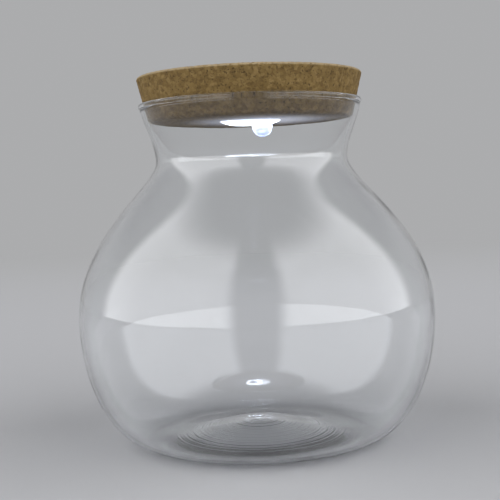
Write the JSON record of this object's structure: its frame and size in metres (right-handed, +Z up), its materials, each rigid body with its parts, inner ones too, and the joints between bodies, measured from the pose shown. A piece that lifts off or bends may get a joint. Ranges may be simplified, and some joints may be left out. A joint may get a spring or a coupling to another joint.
{
  "type": "lighted terrarium bottle",
  "caption": "Round-bellied clear glass bottle with a waisted neck and a tapered cork lid that holds a battery lamp shining down into the bottle.",
  "frame": {"origin": "on the bottle's axis, in the plane of the foot ring that it stands on", "axes": "+Z up along the bottle's axis, towards the cork lid; +X towards the lamp's bulb, which hangs 5 mm beside the axis"},
  "size_m": [0.15, 0.15, 0.154],
  "materials": {
    "clear_glass": "clear, fire-polished",
    "cork": "pressed cork granules, sanded",
    "white_plastic": "satin moulded",
    "clear_plastic": "clear moulded, lit from inside",
    "led_epoxy": "clear epoxy, lit cool white",
    "black_rubber": "matte",
    "green_board": "solder mask",
    "black_plastic": "satin moulded",
    "steel": "bright",
    "nickel": "plated",
    "foam": "closed-cell foam"
  },
  "bodies": {
    "bottle": {"glass_bottle": "clear_glass"},
    "lid": {"cork_lid": "cork", "lamp_housing": "white_plastic", "lens_cup": "clear_plastic", "lens_seal": "black_rubber", "reflector_plate": "white_plastic", "led_bulb": "led_epoxy", "led_lead_anode": "nickel", "led_lead_cathode": "nickel", "led_board": "green_board", "resistor": "black_plastic", "switch_body": "black_plastic", "cell_tray": "black_plastic", "button_cell_1": "steel", "button_cell_2": "steel", "button_cell_3": "steel", "cell_spring_1": "nickel", "cell_spring_2": "nickel", "cell_spring_3": "nickel", "cell_clip_1": "nickel", "cell_clip_2": "nickel", "cell_clip_3": "nickel", "tray_screw_1": "steel", "tray_screw_2": "steel", "tray_screw_3": "steel"},
    "plunger": {"switch_plunger": "white_plastic"},
    "cap": {"battery_cap": "white_plastic", "cap_pad": "foam", "cap_seal": "black_rubber"},
    "button": {"push_button": "white_plastic"}
  },
  "joints": [
    {"name": "lid_lift", "type": "slide", "parent": "bottle", "child": "lid", "axis": [0, 0, 1], "range_m": [0, 0.1]},
    {"name": "cap_twist", "type": "hinge", "parent": "lid", "child": "cap", "pos_m": [0, 0, 0.15], "axis": [0, 0, 1], "range_deg": [0, 60]},
    {"name": "button_press", "type": "slide", "parent": "cap", "child": "button", "axis": [0, 0, -1], "range_m": [0, 0.0012], "stiffness_N_per_m": 500, "springref_m": -0.002},
    {"name": "plunger_press", "type": "slide", "parent": "lid", "child": "plunger", "axis": [0, 0, -1], "range_m": [0, 0.0012]}
  ],
  "couplings": [
    {"joint": "plunger_press", "follows": "button_press", "ratio": 1}
  ]
}
